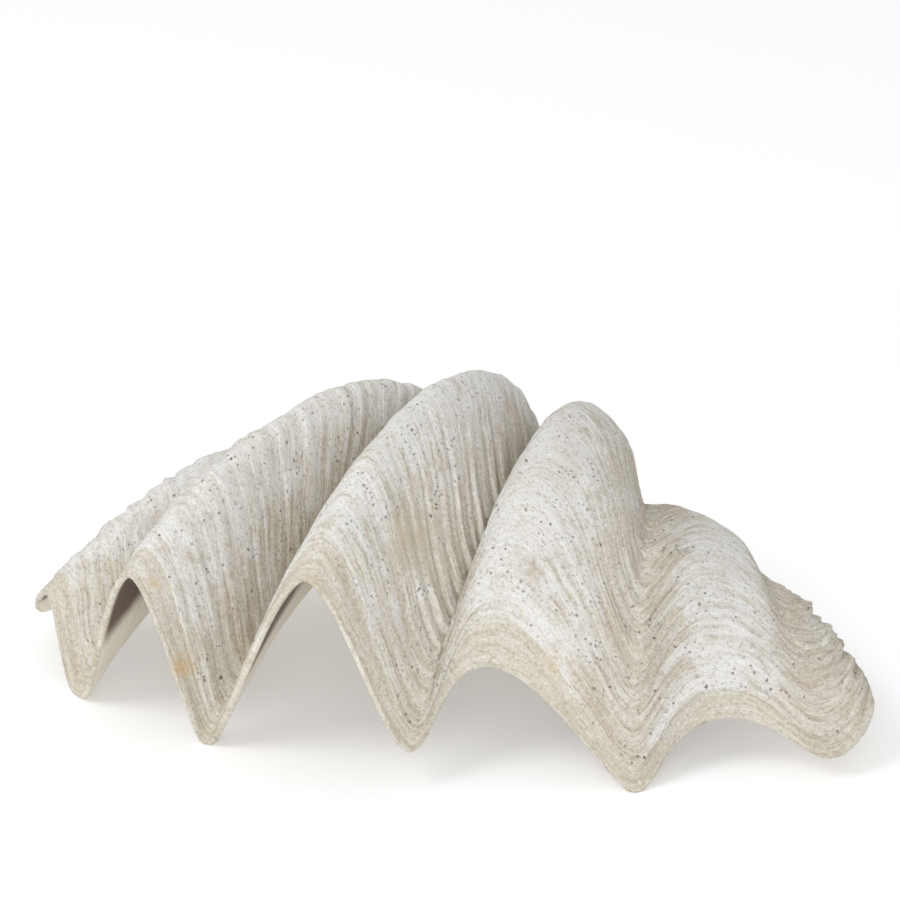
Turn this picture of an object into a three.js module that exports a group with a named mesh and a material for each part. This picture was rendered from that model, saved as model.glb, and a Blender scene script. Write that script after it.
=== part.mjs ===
// Giant clam half shell, lying hollow side down, as one grown piece.
// Millimetres. +X runs along the hinge line, -Y points to the fluted lip, +Z is up.
// The origin is the middle of the footprint, on the ground.
import * as THREE from 'three';

// ---- driving dimensions ----

// Landmarks round the growing edge, in order. Each is the end of a rib (crest), the end
// of a groove (tip) or a turn of the hinge side, given from the beak:
// [bearing in degrees from -Y towards +X, reach in mm, height over the ground in mm,
//  curl (how late the line from the beak to this landmark turns over), roundness,
//  lean and lift (how far that line bows to the right and upwards halfway, in mm)]
const EDGE = [
  [-60, 415, 22, 0.5, 0.5, 0, 2],     // left end, a small turned-under lip
  [-51, 414, 65, 1.0, 1.4, 6, 7],     // crest 1
  [-43, 405, 0, 0.85, 1.1, 11, 8],    // tip 1-2
  [-32, 390, 145, 0.9, 1.2, 16, 21],  // crest 2
  [-25, 352, 0, 0.7, 0.5, 3, -4],     // tip 2-3
  [-10, 334, 174, 1.15, 1.0, 7, 7],   // crest 3
  [4, 310, 32, 0.8, 0.8, 24, 6],      // tip 3-4
  [15, 258, 87, 2.25, 1.4, 1, 12],    // crest 4
  [37, 306, 0, 1.25, 0.6, 16, 6],     // tip 4-5
  [52, 288, 42, 1.9, 1.6, 22, -2],    // crest 5
  [63, 354, 20, 1.4, 1.0, 18, -3],    // tip 5
  [72, 349, 47, 1.15, 0.8, 16, -2],   // right end
  [85, 255, 38, 1.3, 0.8, 0, 0],      // right shoulder of the hinge side
  [93, 120, 0, 0.6, 0.7, 0, 0],       // right end of the hinge line
  [-93, 112, 0, 0.6, 0.7, 0, 0],      // left end of the hinge line
  [-76, 250, 38, 0.85, 1.2, 0, 0],    // left shoulder of the hinge side
];
const HINGE_FIRST = 13;        // landmark at the right end of the hinge line
const BEAK_HEIGHT = 18;        // hinge axis over the ground
const TURN = 2.2;              // whole rotation of the shell about the hinge axis, radians
const RIB_GROWTH = 0.42;       // how much faster the ribs grow than the shell
const SMOOTH_BEAK = 0.2;       // share of the size below which the ribs die away
const RIB_SWELL = 1.4;         // how much rounder the ribs are behind the lip
const SWELLING = 1.1;          // roundness above which a landmark swells so
const FLUTED = [1, 10];        // first and last landmark of the fluted lip
const SPREAD = -0.07;          // how much slower the shell widens than it lengthens
const SMALLEST = 0.035;        // size of the beak end, as a share of the full size
const LIP_WALL = 5;            // wall at the lip
const BODY_WALL = 30;          // wall deep inside
const WALL_GROWTH = 0.8;       // power of the wall's growth from the lip inwards
const HINGE_PLATE = 34;        // depth of the flat hinge plate
const POCKET = 0.3;            // size at which the hollow ends under the beak
const INNER_RIB_FADE = 1.3;    // how soon the ribs fade out on the inside

const SPLITS = 6;              // columns between two landmarks on the lip
const BACK_SPLITS = 3;         // columns between two landmarks on the hinge side
const OUTER_RINGS = 22;
const INNER_RINGS = 14;
const BEAK_CROWDING = 1.25;    // power that crowds the outer rings towards the beak

// ---- the growing edge ----

const COUNT = EDGE.length;
const CURL = 3;
const ROUNDNESS = 4;
const LEAN = 5;
const LIFT = 6;

function landmark([bearing, reach, height]) {
  const a = THREE.MathUtils.degToRad(bearing);
  return new THREE.Vector3(reach * Math.sin(a), -reach * Math.cos(a), height - BEAK_HEIGHT);
}

const nodes = EDGE.map(landmark);

const wrap = (i) => ((i % COUNT) + COUNT) % COUNT;

// The edge with its flutes averaged out: every lip landmark is blended with its neighbours.
const meanNodes = nodes.map((node, i) => {
  if (i < FLUTED[0] || i > FLUTED[1]) return node.clone();
  return node.clone().multiplyScalar(0.5)
    .addScaledVector(nodes[i - 1], 0.25)
    .addScaledVector(nodes[i + 1], 0.25);
});

function closedCurve(points, s, roundness) {
  const i = Math.floor(s);
  const f = s - i;
  const at = (k) => points[wrap(i + k)];
  const tangent = (k) => at(k + 1).clone().sub(at(k - 1)).multiplyScalar(0.5 * roundness(wrap(i + k)));
  const f2 = f * f;
  const f3 = f2 * f;
  return at(0).clone().multiplyScalar(2 * f3 - 3 * f2 + 1)
    .addScaledVector(tangent(0), f3 - 2 * f2 + f)
    .addScaledVector(at(1), 3 * f2 - 2 * f3)
    .addScaledVector(tangent(1), f3 - f2);
}

// One column of EDGE carried round the edge, level at each landmark.
function between(column, s) {
  const i = Math.floor(s);
  const share = THREE.MathUtils.smoothstep(s - i, 0, 1);
  return THREE.MathUtils.lerp(EDGE[wrap(i)][column], EDGE[wrap(i + 1)][column], share);
}

const turnAt = (s, t) => TURN * (1 - Math.pow(t, between(CURL, s)));

// Raises the front of a point by an angle about the hinge axis.
function raise(v, angle) {
  const c = Math.cos(angle);
  const k = Math.sin(angle);
  return new THREE.Vector3(v.x, v.y * c + v.z * k, v.z * c - v.y * k);
}

// A point of the shell when it was t times its full size, with its ribs scaled by ribs.
// The edge never dips under the ground.
function grown(s, t, ribs) {
  const mean = closedCurve(meanNodes, s, () => 1);
  const swell = RIB_SWELL * (1 - t);
  const roundness = (i) => EDGE[i][ROUNDNESS] + (EDGE[i][ROUNDNESS] > SWELLING ? swell : 0);
  const full = closedCurve(nodes, s, roundness);
  const edge = mean.lerp(full, ribs);
  edge.x *= Math.pow(t, SPREAD);
  edge.z = Math.max(edge.z, -BEAK_HEIGHT);
  const p = raise(edge, turnAt(s, t)).multiplyScalar(t);
  const bow = Math.pow(4 * t * (1 - t), 2);
  p.x += between(LEAN, s) * bow;
  p.z += between(LIFT, s) * bow + BEAK_HEIGHT;
  return p;
}

function outwardNormal(s, t, ribsAt) {
  const ds = 0.02;
  const dt = 0.004;
  const along = grown(s + ds, t, ribsAt(t)).sub(grown(s - ds, t, ribsAt(t)));
  const across = grown(s, t + dt, ribsAt(t + dt)).sub(grown(s, t - dt, ribsAt(t - dt)));
  return across.cross(along).normalize();
}

const outerRibs = (t) => Math.pow(t, RIB_GROWTH) * (1 - Math.exp(-t / SMOOTH_BEAK));
const innerRibs = (t) => outerRibs(t) * Math.pow(t, INNER_RIB_FADE);

// 1 on the hinge line, 0 on the lip, with a smooth change over the shoulders.
function hingeShare(s) {
  const first = THREE.MathUtils.smoothstep(s, HINGE_FIRST - 1, HINGE_FIRST);
  const last = 1 - THREE.MathUtils.smoothstep(s, HINGE_FIRST + 1, HINGE_FIRST + 2);
  return Math.min(first, last);
}

const outerPoint = (s, t) => grown(s, t, outerRibs(t));

function innerPoint(s, t) {
  const hinge = hingeShare(s);
  const back = raise(new THREE.Vector3(0, 1, 0), turnAt(s, t));
  const normal = outwardNormal(s, t, innerRibs).lerp(back, hinge).normalize();
  const wall = THREE.MathUtils.lerp(LIP_WALL, BODY_WALL, Math.pow(1 - t, WALL_GROWTH));
  const depth = THREE.MathUtils.lerp(wall, HINGE_PLATE, hinge);
  return grown(s, t, innerRibs(t)).addScaledVector(normal, -depth);
}

// ---- the mesh ----

function columnsRound() {
  const list = [];
  for (let i = 0; i < COUNT; i += 1) {
    const splits = i <= FLUTED[1] ? SPLITS : BACK_SPLITS;
    for (let k = 0; k < splits; k += 1) list.push(i + k / splits);
  }
  return list;
}

const columns = columnsRound();
const positions = [];
const faces = [];

function addPoint(p) {
  positions.push(p.x, p.y, Math.max(p.z, 0));
  return positions.length / 3 - 1;
}

const addRing = (pointAt) => columns.map((s) => addPoint(pointAt(s)));

function joinRings(a, b) {
  for (let i = 0; i < columns.length; i += 1) {
    const j = (i + 1) % columns.length;
    faces.push(a[i], b[j], a[j]);
    faces.push(a[i], b[i], b[j]);
  }
}

function closeRing(ring, centre) {
  for (let i = 0; i < columns.length; i += 1) {
    faces.push(ring[(i + 1) % columns.length], ring[i], centre);
  }
}

function ringCentre(ring) {
  const centre = new THREE.Vector3();
  ring.forEach((i) => centre.add(new THREE.Vector3().fromArray(positions, 3 * i)));
  return centre.multiplyScalar(1 / ring.length);
}

// Outside, from the beak to the lip.
let ring = null;
let beakRing = null;
for (let i = OUTER_RINGS; i >= 0; i -= 1) {
  const t = SMALLEST + (1 - SMALLEST) * Math.pow(1 - i / OUTER_RINGS, BEAK_CROWDING);
  const next = addRing((s) => outerPoint(s, t));
  if (ring) joinRings(ring, next);
  else beakRing = next;
  ring = next;
}

// Over the lip and up the inside to the pocket under the beak.
for (let i = 0; i <= INNER_RINGS; i += 1) {
  const t = 1 - (1 - POCKET) * i / INNER_RINGS;
  const next = addRing((s) => innerPoint(s, t));
  joinRings(ring, next);
  ring = next;
}

closeRing(ring, addPoint(ringCentre(ring)));
closeRing([...beakRing].reverse(), addPoint(ringCentre(beakRing)));

const geometry = new THREE.BufferGeometry();
geometry.setAttribute('position', new THREE.Float32BufferAttribute(positions, 3));
geometry.setIndex(faces);
geometry.computeBoundingBox();
const box = geometry.boundingBox;
geometry.translate(-(box.min.x + box.max.x) / 2, -(box.min.y + box.max.y) / 2, -box.min.z);
geometry.computeVertexNormals();

const shell = new THREE.Mesh(
  geometry,
  new THREE.MeshStandardMaterial({ color: 0xe6e1d4, roughness: 0.8, metalness: 0 }),
);
shell.name = 'shell';

const group = new THREE.Group();
group.name = 'giant_clam_half_shell';
group.add(shell);

export default group;
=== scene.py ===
"""Looks of a giant clam half shell.

The grown surface at full detail, its materials, a floor, soft light and a camera.
"""
import math

import bpy
import numpy as np
from mathutils import Matrix, Vector


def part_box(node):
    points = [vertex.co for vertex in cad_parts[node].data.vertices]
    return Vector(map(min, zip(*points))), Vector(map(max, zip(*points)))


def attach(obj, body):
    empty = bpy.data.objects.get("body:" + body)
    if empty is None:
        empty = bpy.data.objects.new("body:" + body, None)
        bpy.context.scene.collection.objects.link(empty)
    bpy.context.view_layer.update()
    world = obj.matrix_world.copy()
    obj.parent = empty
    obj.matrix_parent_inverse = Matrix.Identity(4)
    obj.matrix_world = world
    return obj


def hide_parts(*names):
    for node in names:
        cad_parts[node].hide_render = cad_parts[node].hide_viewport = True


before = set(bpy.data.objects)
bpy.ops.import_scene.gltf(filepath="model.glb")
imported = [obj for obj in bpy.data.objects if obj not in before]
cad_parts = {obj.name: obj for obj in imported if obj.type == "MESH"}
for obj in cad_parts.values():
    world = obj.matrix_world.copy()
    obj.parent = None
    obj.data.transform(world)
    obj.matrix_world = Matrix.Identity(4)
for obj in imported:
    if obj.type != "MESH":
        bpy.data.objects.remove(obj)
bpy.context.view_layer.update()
shell_low, shell_high = [np.array(c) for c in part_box("shell")]

# ------------------------------------------------ driving dimensions (mm), as in the CAD part

EDGE = np.array([
    # bearing, reach, height, curl, roundness, lean, lift
    [-60, 415, 22, 0.5, 0.5, 0, 2],
    [-51, 414, 65, 1.0, 1.4, 6, 7],
    [-43, 405, 0, 0.85, 1.1, 11, 8],
    [-32, 390, 145, 0.9, 1.2, 16, 21],
    [-25, 352, 0, 0.7, 0.5, 3, -4],
    [-10, 334, 174, 1.15, 1.0, 7, 7],
    [4, 310, 32, 0.8, 0.8, 24, 6],
    [15, 258, 87, 2.25, 1.4, 1, 12],
    [37, 306, 0, 1.25, 0.6, 16, 6],
    [52, 288, 42, 1.9, 1.6, 22, -2],
    [63, 354, 20, 1.4, 1.0, 18, -3],
    [72, 349, 47, 1.15, 0.8, 16, -2],
    [85, 255, 38, 1.3, 0.8, 0, 0],
    [93, 120, 0, 0.6, 0.7, 0, 0],
    [-93, 112, 0, 0.6, 0.7, 0, 0],
    [-76, 250, 38, 0.85, 1.2, 0, 0],
])
COUNT = len(EDGE)
HINGE_FIRST = 13
HINGE_MIDDLE = HINGE_FIRST + 0.5
FLUTED = slice(1, 11)
FLUTED_LAST = 10
BEAK_HEIGHT = 18
TURN = 2.2
RIB_GROWTH = 0.42
SMOOTH_BEAK = 0.2
RIB_SWELL = 1.4
SWELLING = 1.1
SPREAD = -0.07
SMALLEST = 0.035
LIP_WALL = 5
BODY_WALL = 30
WALL_GROWTH = 0.8
HINGE_PLATE = 34
POCKET = 0.3
INNER_RIB_FADE = 1.3

LIP_COLUMNS = 20
BACK_COLUMNS = 7
OUTER_RINGS = 335
LIP_ROWS = 4
INNER_RINGS = 36
POCKET_RINGS = 5

GROWTH_LENGTH = 420.0    # mm of growth from the beak to the lip, the unit of age
LANDMARK_STEP = 75.0     # mm round the edge from one landmark to the next, about
POCKET_AGE_STEP = 15     # mm of age from one ring of the pocket to the next
RIM_BULGE = 1.6          # mm the rim of the lip stands out
LAST_LINE = 12           # mean age of the last growth line, mm

# ---------------------------------------------------------------- the grown surface

bearing = np.radians(EDGE[:, 0])
reach = EDGE[:, 1]
nodes = np.stack([reach * np.sin(bearing), -reach * np.cos(bearing), EDGE[:, 2] - BEAK_HEIGHT], 1)
mean_nodes = nodes.copy()
mean_nodes[FLUTED] = (nodes[0:10] + 2 * nodes[FLUTED] + nodes[2:12]) / 4
curl_at = EDGE[:, 3]
round_at = EDGE[:, 4]
lean_at = EDGE[:, 5]
lift_at = EDGE[:, 6]


def smooth(low, high, x):
    f = np.clip((x - low) / (high - low), 0, 1)
    return f * f * (3 - 2 * f)


def mix(a, b, f):
    return a + (b - a) * f


def closed_curve(points, s, first, second):
    """Hermite curve through the landmarks.

    first and second scale the tangents at the two ends of each span.
    """
    i = np.floor(s).astype(int) % COUNT
    f = (s - np.floor(s))[..., None]
    at = [points[(i + k) % COUNT] for k in (-1, 0, 1, 2)]
    a = (at[2] - at[0]) * 0.5 * first[..., None]
    b = (at[3] - at[1]) * 0.5 * second[..., None]
    f2, f3 = f * f, f * f * f
    start = at[1] * (2 * f3 - 3 * f2 + 1) + a * (f3 - 2 * f2 + f)
    return start + at[2] * (3 * f2 - 2 * f3) + b * (f3 - f2)


def roundness(i, t):
    base = round_at[i % COUNT]
    return base + np.where(base > SWELLING, RIB_SWELL * (1 - t), 0)


def between(values, s):
    """A landmark value carried round the edge, level at each landmark."""
    i = np.floor(s).astype(int)
    return mix(values[i % COUNT], values[(i + 1) % COUNT], smooth(0, 1, s - i))


def turn_at(s, t):
    return TURN * (1 - t ** between(curl_at, s))


def raise_front(v, angle):
    c, k = np.cos(angle), np.sin(angle)
    x, y, z = v[..., 0], v[..., 1], v[..., 2]
    return np.stack([x, y * c + z * k, z * c - y * k], -1)


def grown(s, t, ribs):
    """The shell at a place on its edge, when it was t times its full size."""
    i = np.floor(s).astype(int)
    one = np.ones_like(s)
    mean = closed_curve(mean_nodes, s, one, one)
    full = closed_curve(nodes, s, roundness(i, t), roundness(i + 1, t))
    edge = mix(mean, full, ribs[..., None])
    edge[..., 0] *= t ** SPREAD
    edge[..., 2] = np.maximum(edge[..., 2], -BEAK_HEIGHT)
    p = raise_front(edge, turn_at(s, t)) * t[..., None]
    sway = (4 * t * (1 - t)) ** 2
    p[..., 0] += between(lean_at, s) * sway
    p[..., 2] += between(lift_at, s) * sway + BEAK_HEIGHT
    return p


def outer_ribs(t):
    return t ** RIB_GROWTH * (1 - np.exp(-t / SMOOTH_BEAK))


def inner_ribs(t):
    return outer_ribs(t) * t ** INNER_RIB_FADE


def unit(v):
    return v / np.maximum(np.linalg.norm(v, axis=-1, keepdims=True), 1e-9)


def outward(s, t, ribs):
    ds, dt = 0.02, 0.004
    along = grown(s + ds, t, ribs(t)) - grown(s - ds, t, ribs(t))
    across = grown(s, t + dt, ribs(t + dt)) - grown(s, t - dt, ribs(t - dt))
    return unit(np.cross(across, along))


def hinge_share(s):
    s = np.mod(s, COUNT)
    first = smooth(HINGE_FIRST - 1, HINGE_FIRST, s)
    last = 1 - smooth(HINGE_FIRST + 1, HINGE_FIRST + 2, s)
    return np.minimum(first, last)


def inner_surface(s, t):
    hinge = hinge_share(s)[..., None]
    back = raise_front(np.broadcast_to([0.0, 1.0, 0.0], s.shape + (3,)), turn_at(s, t))
    normal = unit(mix(outward(s, t, inner_ribs), back, hinge))
    wall = mix(LIP_WALL, BODY_WALL, (1 - t) ** WALL_GROWTH)
    depth = mix(wall[..., None], HINGE_PLATE, hinge)
    return grown(s, t, inner_ribs(t)) - normal * depth, normal


# ---------------------------------------------------------------- noise, the same on every run

def lattice(ix, iy, iz, seed):
    h = (ix.astype(np.int64) * 374761393 + iy.astype(np.int64) * 668265263
         + iz.astype(np.int64) * 2147483647 + seed * 1274126177) & 0xFFFFFFFF
    h = ((h ^ (h >> 13)) * 1274126177) & 0xFFFFFFFF
    h = ((h ^ (h >> 16)) * 2246822519) & 0xFFFFFFFF
    return (h ^ (h >> 15)) / 0xFFFFFFFF * 2 - 1


def noise(x, y, z, seed):
    """Smooth value noise between -1 and 1 with a wave of about two units."""
    x, y, z = np.broadcast_arrays(np.asarray(x, float), np.asarray(y, float), np.asarray(z, float))
    ix, iy, iz = np.floor(x), np.floor(y), np.floor(z)
    fx, fy, fz = [smooth(0, 1, a - b) for a, b in ((x, ix), (y, iy), (z, iz))]
    out = 0
    for dx in (0, 1):
        for dy in (0, 1):
            for dz in (0, 1):
                w = (fx if dx else 1 - fx) * (fy if dy else 1 - fy) * (fz if dz else 1 - fz)
                out = out + w * lattice(ix + dx, iy + dy, iz + dz, seed)
    return out


def cloud(p, size, seed, octaves=3):
    """Noise over points in space, with waves from about two sizes down."""
    total, share = 0, 1.0
    for k in range(octaves):
        q = p / size * 2 ** k
        total = total + share * noise(q[..., 0] + 17.3 * k, q[..., 1], q[..., 2], seed + k)
        share *= 0.5
    return total


# ---------------------------------------------------------------- grids

def columns_round():
    out = []
    for i in range(COUNT):
        n = LIP_COLUMNS if i <= FLUTED_LAST else BACK_COLUMNS
        out += [i + k / n for k in range(n)]
    return np.array(out)


columns = columns_round()

# Rings evenly spaced along the way from the lip to the beak.
fine = np.linspace(1, SMALLEST, 2000)
step = np.sqrt(1 + (TURN * 1.15 * fine ** 1.15) ** 2)
way = np.concatenate([[0], np.cumsum((step[1:] + step[:-1]) / 2)])
ring_t = np.interp(np.linspace(0, way[-1], OUTER_RINGS + 1), way, fine)

S, T = np.meshgrid(columns, ring_t, indexing="ij")

# 1 on a rib's crest, 0 in a groove. The right end is a low, flat rib.
flute_crest = 0.5 - 0.5 * np.cos(np.pi * S)
end_crest = np.where(S < 11, 0.3 * (S - 10), 0.3 * (1 - smooth(11, 12, S)))
crest_of = np.where(S <= FLUTED_LAST, flute_crest, end_crest)


def age_mm(t):
    return (1 - t) * GROWTH_LENGTH


def round_edge(s):
    """Runs once round the edge in landmarks, with its seam in the middle of the hinge line."""
    return np.mod(s - HINGE_MIDDLE, COUNT)


def across_mm(s):
    return round_edge(s) * LANDMARK_STEP


# ---------------------------------------------------------------- growth relief on the outside, mm

def steps(age, spacings, seed, soft):
    """A saw tooth along the growth: each old layer ends in a proud edge over the younger one."""
    rng = np.random.default_rng(seed)
    widths = rng.uniform(spacings[0], spacings[1], 200)
    edges = np.concatenate([[0], np.cumsum(widths)])
    heights = rng.uniform(0.3, 1.0, 201)
    k = np.clip(np.searchsorted(edges, age, side="right") - 1, 0, 199)
    x = (age - edges[k]) / widths[k]
    rise = smooth(0, soft / widths[k], x)
    return heights[k] * rise * (1 - x) ** 0.8


def late_edge(s):
    """Age at which the last smooth growth band ends, mm."""
    v = round_edge(s)
    wide = LAST_LINE + 3.5 * noise(v * 1.3, 0.5, 0, 51) + 1.2 * noise(v * 6.0, 0.5, 0, 52)
    return wide + 0.7 * noise(v * 21.0, 0.5, 0, 53)


def at_line(s, middle, width):
    return np.exp(-((s - middle) / width) ** 2)


def relief(s, t, p):
    """How far the outside stands proud of the smooth shell, mm."""
    age = age_mm(t)
    v = round_edge(s)
    wob = 5.0 * noise(v * 1.4, age / 70, 0, 3) + 2.2 * noise(v * 4.0, age / 30, 0, 5)
    wob = wob + 0.6 * noise(v * 13.0, age / 12, 0, 6)
    old = age + wob
    settled = smooth(12, 30, age)
    big = steps(old, (7, 17), 11, 1.0) * (0.65 + 0.55 * noise(v * 1.1, age / 40, 0, 7))
    mid = steps(old + 3, (3, 6.5), 12, 0.8) * (0.55 + 0.55 * noise(v * 2.0, age / 20, 0, 9))
    body = cloud(p, 55, 21) * 2.3 * smooth(0, 60, age)
    worn = cloud(p, 10, 31, 2) * 0.5 * (0.3 + 0.7 * crest_of) * settled
    after = age - late_edge(s)
    last = (1.7 + at_line(s, 9.0, 1.2)) * smooth(0, 0.9, after) * np.exp(-np.maximum(after, 0) / 14)
    # Rib 3 has an older pause in its growth as well.
    pause = age + wob - 46
    pause_line = smooth(0, 1.2, pause) * np.exp(-np.maximum(pause, 0) / 16)
    last = last + 2.0 * at_line(s, 5.0, 0.8) * pause_line
    h = mix(0.6, 2.0, settled) * big + mix(0.4, 0.75, settled) * mid + body + worn + last
    # The first two ribs are knobbly, the grooves carry stacked flutes, and the right end is rough.
    knobs = (at_line(s, 1.0, 0.5) * 4.2 + at_line(s, 3.0, 0.45) * 2.2) * settled
    h = h + knobs * (steps(old, (8, 15), 13, 3.5) + 0.45 * noise(age / 7, v * 6, 0, 14))
    flutes = at_line(s, 6.0, 0.5) * 6.5 + at_line(s, 8.15, 0.45) * 4.5 + at_line(s, 4.0, 0.35) * 2.4
    flutes = flutes * settled
    h = h + flutes * steps(old + 4 * noise(v * 3, age / 25, 0, 19), (9, 17), 17, 5.0)
    scales = at_line(s, 11.1, 0.6) * smooth(0, 8, age)
    h = h + scales * (2.6 * steps(old, (10, 18), 15, 6.0) + 4.2 * noise(age / 8, v * 3.5, 0, 16))
    return h * smooth(0.06, 0.25, t) * (1 - hinge_share(s))


P = grown(S, T, outer_ribs(T))
N = outward(S, np.minimum(T, 0.996), outer_ribs)
centre = (P.reshape(-1, 3).min(0) + P.reshape(-1, 3).max(0)) / 2
H = relief(S, T, P)

outer = P + N * H[..., None]

# Inside: the rings run from the lip to the pocket under the beak.
inner_t = 1 - (1 - POCKET) * np.linspace(0, 1, INNER_RINGS + 1) ** 1.15
SI, TI = np.meshgrid(columns, inner_t, indexing="ij")
inner, inner_n = inner_surface(SI, TI)
inner_wave = cloud(inner, 60, 41, 2) * 0.9 * smooth(0, 0.12, 1 - TI) * (1 - hinge_share(SI))
inner = inner + inner_n * inner_wave[..., None]

# The lip: from the outer edge over a rounded rim to the inner edge.
rows = []
rim_out = unit(P[:, 0] - P[:, 1])
off_hinge = (1 - hinge_share(columns))[:, None]
for k in range(1, LIP_ROWS):
    f = k / LIP_ROWS
    bulge = math.sin(math.pi * f) * RIM_BULGE
    rows.append(mix(outer[:, 0], inner[:, 0], f) + rim_out * bulge * off_hinge)

pocket_centre = inner[:, -1].mean(0)
pocket_steps = range(1, POCKET_RINGS + 1)
pocket = [mix(inner[:, -1], pocket_centre, k / (POCKET_RINGS + 1)) for k in pocket_steps]

rings = [outer[:, i] for i in range(OUTER_RINGS, -1, -1)] + rows
rings += [inner[:, i] for i in range(INNER_RINGS + 1)] + pocket
ring_age = [np.full(len(columns), age_mm(t)) for t in ring_t[::-1]]
ring_age += [np.zeros(len(columns))] * len(rows)
ring_age += [np.full(len(columns), age_mm(t)) for t in inner_t]
ring_age += [np.full(len(columns), age_mm(POCKET) + POCKET_AGE_STEP * k) for k in pocket_steps]
ring_crest = [crest_of[:, 0]] * len(rings)
n_outer = OUTER_RINGS + 1
ring_inside = [0.0] * n_outer + [k / LIP_ROWS for k in range(1, LIP_ROWS)]
ring_inside += [1.0] * (INNER_RINGS + 1 + POCKET_RINGS)

cols = len(columns)
# The grown shell is moved to the middle of the CAD node's footprint.
shift = (shell_low + shell_high) / 2 * 1000 - np.array([centre[0], centre[1], 0])
shift[2] = 0
verts = np.concatenate(rings) + shift
verts[:, 2] = np.maximum(verts[:, 2], 0)
beak_tip = outer[:, -1].mean(0) + shift
verts = np.concatenate([verts, [beak_tip], [pocket_centre + shift]]) / 1000.0
i_beak, i_pocket = len(verts) - 2, len(verts) - 1

R = len(rings)
a = (np.arange(R - 1)[:, None] * cols + np.arange(cols)[None, :])
b = (np.arange(R - 1)[:, None] * cols + (np.arange(cols)[None, :] + 1) % cols)
quads = np.stack([a, a + cols, b + cols, b], -1).reshape(-1, 4)
first = np.arange(cols)
nxt = (first + 1) % cols
tris = np.concatenate([
    np.stack([first, nxt, np.full(cols, i_beak)], 1),
    np.stack([(R - 1) * cols + nxt, (R - 1) * cols + first, np.full(cols, i_pocket)], 1),
])

mesh = bpy.data.meshes.new("clam_shell")
mesh.vertices.add(len(verts))
mesh.vertices.foreach_set("co", verts.astype(np.float32).ravel())
mesh.loops.add(quads.size + tris.size)
mesh.loops.foreach_set("vertex_index", np.concatenate([quads.ravel(), tris.ravel()]).astype(np.int32))
starts = np.concatenate([np.arange(len(quads)) * 4, quads.size + np.arange(len(tris)) * 3]).astype(np.int32)
mesh.polygons.add(len(starts))
mesh.polygons.foreach_set("loop_start", starts)
mesh.polygons.foreach_set("use_smooth", np.ones(len(starts), bool))
mesh.update(calc_edges=True)
mesh.validate()


def attribute(name, per_ring, last_two):
    """A value for each point: one or a row of them for each ring, then the beak and the pocket."""
    data = np.concatenate([np.broadcast_to(r, cols) for r in per_ring] + [np.array(last_two, float)])
    layer = mesh.attributes.new(name, "FLOAT", "POINT")
    layer.data.foreach_set("value", data.astype(np.float32))


attribute("age", ring_age, [GROWTH_LENGTH, 380])
attribute("crest", ring_crest, [0, 0])
attribute("inside", ring_inside, [0, 1])
attribute("across", [across_mm(columns)] * R, [0, 0])
ring_late = [1 - smooth(-0.4, 0.6, ring - late_edge(columns)) for ring in ring_age]
attribute("late", ring_late, [0, 0])

shell = bpy.data.objects.new("clam_shell", mesh)
bpy.context.collection.objects.link(shell)

# ---------------------------------------------------------------- materials

def on_shell(s, t):
    """The place on the outside at a point of the edge and a size, in metres."""
    return (grown(np.array([s]), np.array([t]), outer_ribs(np.array([t])))[0] + shift) / 1000


DARK_LINE = (0.37, 0.32, 0.245)
# Place and half width in metres, and for a stain its colour.
BIG_PITS = [
    (on_shell(5.9, 0.62), 0.0028),
    (on_shell(5.8, 0.6), 0.0018),
    (on_shell(8.1, 0.78), 0.002),
    (on_shell(3.8, 0.93), 0.0018),
    (on_shell(6.9, 0.6), 0.0016),
]
STAINS = [
    (on_shell(3.55, 0.985), 0.009, (0.6, 0.38, 0.14)),
    (on_shell(3.2, 0.985), 0.005, (0.62, 0.42, 0.2)),
    (on_shell(5.5, 0.86), 0.024, (0.52, 0.45, 0.33)),
    (on_shell(5.5, 0.32), 0.03, (0.42, 0.33, 0.21)),
]


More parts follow.
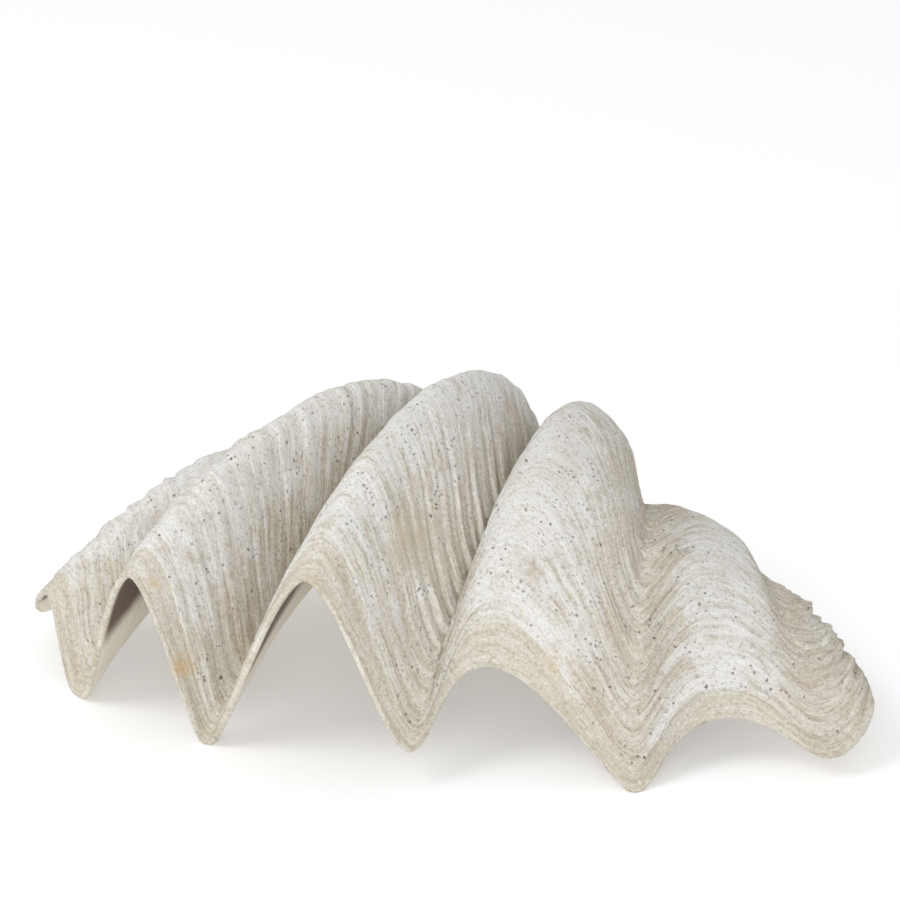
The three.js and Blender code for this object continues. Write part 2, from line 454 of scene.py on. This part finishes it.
class Nodes:
    """Short calls for building a material's nodes."""

    def __init__(self, name):
        self.material = bpy.data.materials.new(name)
        self.material.use_nodes = True
        self.tree = self.material.node_tree
        self.shader = self.tree.nodes["Principled BSDF"]

    def make(self, kind, **settings):
        node = self.tree.nodes.new(kind)
        for key, value in settings.items():
            setattr(node, key, value)
        return node

    def join(self, source, target):
        self.tree.links.new(source, target)

    def put(self, socket, value):
        if isinstance(value, bpy.types.NodeSocket):
            self.join(value, socket)
        else:
            socket.default_value = value

    def value(self, name):
        return self.make("ShaderNodeAttribute", attribute_name=name).outputs["Fac"]

    def math(self, operation, x, y=0.0, clamp=False):
        node = self.make("ShaderNodeMath", operation=operation, use_clamp=clamp)
        self.put(node.inputs[0], x)
        self.put(node.inputs[1], y)
        return node.outputs[0]

    def span(self, x, low, high, out_low=0.0, out_high=1.0):
        node = self.make("ShaderNodeMapRange", interpolation_type="SMOOTHSTEP")
        for k, v in enumerate((x, low, high, out_low, out_high)):
            self.put(node.inputs[k], v)
        return node.outputs[0]

    def vector(self, x, y, z=0.0):
        node = self.make("ShaderNodeCombineXYZ")
        for k, v in enumerate((x, y, z)):
            self.put(node.inputs[k], v)
        return node.outputs[0]

    def place(self):
        return self.make("ShaderNodeTexCoord").outputs["Object"]

    def noise(self, where, scale, detail=3.0, rough=0.55):
        node = self.make("ShaderNodeTexNoise")
        self.put(node.inputs["Vector"], where)
        node.inputs["Scale"].default_value = scale
        node.inputs["Detail"].default_value = detail
        node.inputs["Roughness"].default_value = rough
        return node.outputs["Fac"]

    def lines(self, age, across, along_age, along_edge, apart, detail, rough):
        """Noise stretched along the edge, so that it makes growth lines. apart keeps sets different."""
        x = self.math("MULTIPLY", age, along_age)
        y = self.math("MULTIPLY", across, along_edge)
        return self.noise(self.vector(x, y, apart), 1.0, detail, rough)

    def cells(self, where, scale):
        node = self.make("ShaderNodeTexVoronoi")
        self.put(node.inputs["Vector"], where)
        node.inputs["Scale"].default_value = scale
        return node.outputs["Distance"], node.outputs["Color"]

    def shaken(self, where, scale, amount):
        """Moves places about by noise, so that round shapes come out irregular."""
        noise = self.make("ShaderNodeTexNoise")
        self.join(where, noise.inputs["Vector"])
        noise.inputs["Scale"].default_value = scale
        off = self.make("ShaderNodeVectorMath", operation="SUBTRACT")
        self.join(noise.outputs["Color"], off.inputs[0])
        off.inputs[1].default_value = (0.5, 0.5, 0.5)
        sized = self.make("ShaderNodeVectorMath", operation="SCALE")
        self.join(off.outputs[0], sized.inputs[0])
        sized.inputs["Scale"].default_value = 2 * amount
        moved = self.make("ShaderNodeVectorMath", operation="ADD")
        self.join(where, moved.inputs[0])
        self.join(sized.outputs[0], moved.inputs[1])
        return moved.outputs[0]

    def pits(self, where, scale, rare, radius):
        """Scattered small holes. rare is the share of cells that have none."""
        near, which = self.cells(self.shaken(where, 2.2 * scale, 0.35 / scale), scale)
        split = self.make("ShaderNodeSeparateColor")
        self.join(which, split.inputs[0])
        present = self.span(split.outputs[0], rare, rare + 0.02)
        reach = self.span(split.outputs[1], 0.0, 1.0, 0.4 * radius, 1.6 * radius)
        return self.math("MULTIPLY", self.span(self.math("DIVIDE", near, reach), 1.2, 0.7), present)

    def spot(self, where, centre, size, ragged, inner=0.75):
        """1 inside a ragged patch about a place on the shell, 0 outside.

        size is its half width, and inner the share of that at which it starts to fade.
        """
        node = self.make("ShaderNodeVectorMath", operation="DISTANCE")
        self.join(where, node.inputs[0])
        node.inputs[1].default_value = centre
        uneven = self.math("SUBTRACT", self.noise(where, 160, 3, 0.6), 0.5)
        rough = self.math("MULTIPLY", uneven, 2 * ragged)
        far = self.math("ADD", self.math("DIVIDE", node.outputs["Value"], size), rough)
        return self.span(far, 1.9 - inner, inner)

    def blend(self, share, under, over, how="MIX"):
        node = self.make("ShaderNodeMix", data_type="RGBA", blend_type=how)
        self.put(node.inputs[0], share)
        self.put(node.inputs[6], under)
        self.put(node.inputs[7], over)
        return node.outputs[2]

    def ramp(self, x, *stops):
        node = self.make("ShaderNodeValToRGB")
        self.join(x, node.inputs[0])
        ramp = node.color_ramp
        while len(ramp.elements) < len(stops):
            ramp.elements.new(0.5)
        for element, (at, colour) in zip(ramp.elements, stops):
            element.position = at
            element.color = (*colour, 1)
        return node.outputs["Color"]

    def bump(self, height, distance, strength=1.0, under=None):
        node = self.make("ShaderNodeBump")
        node.inputs["Strength"].default_value = strength
        node.inputs["Distance"].default_value = distance
        self.join(height, node.inputs["Height"])
        if under is not None:
            self.join(under, node.inputs["Normal"])
        return node.outputs["Normal"]


def outside_material():
    n = Nodes("weathered_shell")
    age, across, crest, late = n.value("age"), n.value("across"), n.value("crest"), n.value("late")
    place = n.place()
    wander = n.noise(place, 26, 4, 0.6)
    age_w = n.math("ADD", age, n.math("MULTIPLY", n.math("SUBTRACT", wander, 0.5), 7.0))
    fine = n.lines(age_w, across, 1.05, 0.035, 0.0, 4, 0.65)
    middle = n.lines(age_w, across, 0.27, 0.02, 5.0, 3, 0.6)
    broad = n.lines(age_w, across, 0.06, 0.01, 9.0, 2, 0.5)
    laminae = n.lines(age_w, across, 2.3, 0.03, 2.0, 2, 0.6)
    patch = n.noise(place, 13, 4, 0.6)
    mottle = n.noise(place, 48, 5, 0.68)
    grain = n.noise(place, 380, 4, 0.7)

    # Growth lines, from dark gaps to pale ridges.
    colour = n.ramp(
        fine,
        (0.3, DARK_LINE),
        (0.42, (0.5, 0.45, 0.36)),
        (0.53, (0.62, 0.575, 0.49)),
        (0.68, (0.73, 0.7, 0.63)),
    )
    colour = n.blend(n.span(middle, 0.44, 0.6, 0.0, 0.55), colour, (0.73, 0.71, 0.65, 1))
    colour = n.blend(n.span(middle, 0.5, 0.36, 0.0, 0.35), colour, (0.42, 0.36, 0.28, 1))
    colour = n.blend(n.span(broad, 0.5, 0.7, 0.0, 0.4), colour, (0.54, 0.46, 0.35, 1))
    # Chalky wear, mostly on the crests and less on the last growth.
    worn = n.math("ADD", n.math("MULTIPLY", crest, 0.42), n.math("MULTIPLY", mottle, 0.9))
    worn = n.math("ADD", worn, n.math("MULTIPLY", patch, 0.7))
    worn = n.math("ADD", worn, n.math("MULTIPLY", middle, 0.55))
    chalk = n.math("MULTIPLY", n.span(worn, 1.17, 1.5), n.span(late, 0.0, 1.0, 0.8, 0.35))
    colour = n.blend(chalk, colour, (0.775, 0.775, 0.76, 1))
    colour = n.blend(n.span(patch, 0.56, 0.74, 0.0, 0.4), colour, (0.5, 0.42, 0.31, 1))
    colour = n.blend(n.span(age, 210.0, 330.0, 0.0, 0.12), colour, (0.55, 0.46, 0.35, 1))
    colour = n.blend(n.span(late, 0.2, 1.0, 0.0, 0.3), colour, (0.57, 0.53, 0.41, 1))
    lines = n.math("MULTIPLY", n.span(laminae, 0.5, 0.36), n.span(late, 0.0, 1.0, 0.3, 0.5))
    colour = n.blend(lines, colour, (0.4, 0.34, 0.25, 1))
    rusty = n.span(n.noise(place, 30, 3, 0.6), 0.62, 0.72)
    rust = n.math("MULTIPLY", rusty, n.span(age, 40.0, 5.0, 0.0, 0.24))
    colour = n.blend(rust, colour, (0.62, 0.47, 0.27, 1))
    colour = n.blend(n.span(grain, 0.32, 0.47, 0.6, 0.0), colour, (0.3, 0.26, 0.2, 1))
    colour = n.blend(n.span(grain, 0.53, 0.68, 0.0, 0.5), colour, (0.86, 0.85, 0.82, 1))

    pit = n.pits(place, 110, 0.88, 0.09)
    small = n.math("MULTIPLY", n.pits(place, 270, 0.5, 0.2), n.span(mottle, 0.47, 0.6))
    pit = n.math("MAXIMUM", pit, n.math("MULTIPLY", small, 0.8))
    for where, size in BIG_PITS:
        pit = n.math("MAXIMUM", pit, n.spot(place, where, size, 0.4))
    pit = n.math("MULTIPLY", pit, n.span(late, 0.0, 1.0, 1.0, 0.25))
    colour = n.blend(n.math("MULTIPLY", pit, 0.8), colour, (0.13, 0.1, 0.07, 1))
    for where, size, tint in STAINS:
        stain = n.spot(place, where, size, 1.1, 0.25)
        stain = n.math("MULTIPLY", stain, n.span(mottle, 0.35, 0.6, 0.25, 0.8))
        colour = n.blend(stain, colour, (*tint, 1))
    n.join(colour, n.shader.inputs["Base Color"])

    height = n.math("ADD", n.math("MULTIPLY", fine, 0.9), n.math("MULTIPLY", middle, 0.7))
    height = n.math("ADD", height, n.math("MULTIPLY", grain, 0.45))
    height = n.math("ADD", height, n.math("MULTIPLY", mottle, 0.8))
    height = n.math("SUBTRACT", height, n.math("MULTIPLY", pit, 1.6))
    n.join(n.bump(height, 0.0014, 0.85), n.shader.inputs["Normal"])
    n.join(n.span(fine, 0.3, 0.7, 0.92, 0.78), n.shader.inputs["Roughness"])
    n.shader.inputs["Specular IOR Level"].default_value = 0.3
    return n.material


def inside_material():
    n = Nodes("smooth_inside")
    age, across, crest = n.value("age"), n.value("across"), n.value("crest")
    place = n.place()
    cloudy = n.noise(place, 9, 4, 0.6)
    lines = n.lines(age, across, 0.3, 0.01, 0.0, 3, 0.6)
    colour = n.ramp(cloudy, (0.3, (0.66, 0.61, 0.5)), (0.55, (0.74, 0.69, 0.59)), (0.75, (0.8, 0.76, 0.68)))
    colour = n.blend(n.span(lines, 0.5, 0.65, 0.0, 0.3), colour, (0.46, 0.38, 0.28, 1))
    # Dark brown up in the vaults of the ribs, near the lip: partly a real brown stain, partly painted shade
    # on the undersides of the rib crests.
    vault = n.math("ADD", crest, n.math("MULTIPLY", n.math("SUBTRACT", cloudy, 0.5), 0.45))
    stain_and_shade = n.math("MULTIPLY", n.span(vault, 0.3, 0.55), n.span(age, 170.0, 50.0, 0.0, 0.94))
    # Painted shade under the crests, mixed with the brown stain.
    colour = n.blend(stain_and_shade, colour, (0.08, 0.036, 0.02, 1))
    colour = n.blend(n.span(age, 0.0, 3.0, 0.8, 0.0), colour, (0.55, 0.49, 0.38, 1))
    n.join(colour, n.shader.inputs["Base Color"])
    height = n.math("ADD", n.math("MULTIPLY", lines, 0.6), n.noise(place, 180, 3, 0.6))
    n.join(n.bump(height, 0.0006, 0.6), n.shader.inputs["Normal"])
    n.join(n.span(cloudy, 0.3, 0.7, 0.62, 0.48), n.shader.inputs["Roughness"])
    n.shader.inputs["Specular IOR Level"].default_value = 0.4
    return n.material


mesh.materials.append(outside_material())
mesh.materials.append(inside_material())
ring_of_quad = np.repeat(np.arange(R - 1), cols)
is_inside = (ring_of_quad >= n_outer + LIP_ROWS - 1)
slots = np.concatenate([is_inside, np.zeros(cols, bool), np.ones(cols, bool)]).astype(np.int32)
mesh.polygons.foreach_set("material_index", slots)

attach(shell, "root")
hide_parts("shell")

# ---------------------------------------------------------------- floor, light, camera

FLOOR_HALF_WIDTH = 14.0
FLOOR_DEPTH = -0.0005            # just under the shell, so that the two don't share a plane
CAMERA_AZIMUTH = math.radians(23.3)
CAMERA_ELEVATION = math.radians(25.3)
CAMERA_ROLL = math.radians(0.85)
CAMERA_DISTANCE = 2.576
SENSOR_WIDTH = 36
LENS_IN_PIXELS = 3285
FRAME_PIXELS = 900


def floor_material():
    n = Nodes("pale_floor")
    n.shader.inputs["Base Color"].default_value = (0.8, 0.8, 0.8, 1)
    n.shader.inputs["Roughness"].default_value = 0.9
    n.shader.inputs["Emission Color"].default_value = (1, 1, 1, 1)
    n.shader.inputs["Emission Strength"].default_value = 0.28
    return n.material


floor_mesh = bpy.data.meshes.new("floor")
side = FLOOR_HALF_WIDTH
corners = [(-side, -side, 0), (side, -side, 0), (side, side, 0), (-side, side, 0)]
floor_mesh.from_pydata(corners, [], [(0, 1, 2, 3)])
floor = bpy.data.objects.new("floor", floor_mesh)
floor.location.z = FLOOR_DEPTH
floor_mesh.materials.append(floor_material())
bpy.context.collection.objects.link(floor)


def area_light(name, place, target, size, power, colour=(1, 1, 1)):
    data = bpy.data.lights.new(name, "AREA")
    data.shape = "DISK"
    data.size = size
    data.energy = power
    data.color = colour
    light = bpy.data.objects.new(name, data)
    light.location = place
    light.rotation_mode = "QUATERNION"
    light.rotation_quaternion = (Vector(target) - Vector(place)).to_track_quat("-Z", "Y")
    bpy.context.collection.objects.link(light)


area_light("key", (-1.6, -1.8, 3.0), (0, 0, 0.1), 1.8, 43)
area_light("front", (1.1, -3.2, 1.5), (0, 0, 0.1), 2.4, 32)

world = bpy.data.worlds.new("studio")
bpy.context.scene.world = world
world.use_nodes = True
world.node_tree.nodes["Background"].inputs["Color"].default_value = (1, 1, 1, 1)
world.node_tree.nodes["Background"].inputs["Strength"].default_value = 0.72
bpy.context.scene.view_settings.view_transform = "Standard"

azimuth, elevation, roll = CAMERA_AZIMUTH, CAMERA_ELEVATION, CAMERA_ROLL
level = math.cos(elevation)
back = Vector((math.sin(azimuth) * level, -math.cos(azimuth) * level, math.sin(elevation)))
flat_right = Vector((math.cos(azimuth), math.sin(azimuth), 0))
flat_up = back.cross(flat_right)
right = flat_right * math.cos(roll) + flat_up * math.sin(roll)
up = flat_up * math.cos(roll) - flat_right * math.sin(roll)
target = Vector((float(shift[0]) - 8, float(shift[1]) - 167, 221)) / 1000
camera_data = bpy.data.cameras.new("camera")
camera_data.sensor_width = SENSOR_WIDTH
camera_data.lens = SENSOR_WIDTH * LENS_IN_PIXELS / FRAME_PIXELS
camera = bpy.data.objects.new("camera", camera_data)
turned = Matrix((right, up, back)).transposed().to_4x4()
camera.matrix_world = Matrix.Translation(target + back * CAMERA_DISTANCE) @ turned
bpy.context.collection.objects.link(camera)
bpy.context.scene.camera = camera
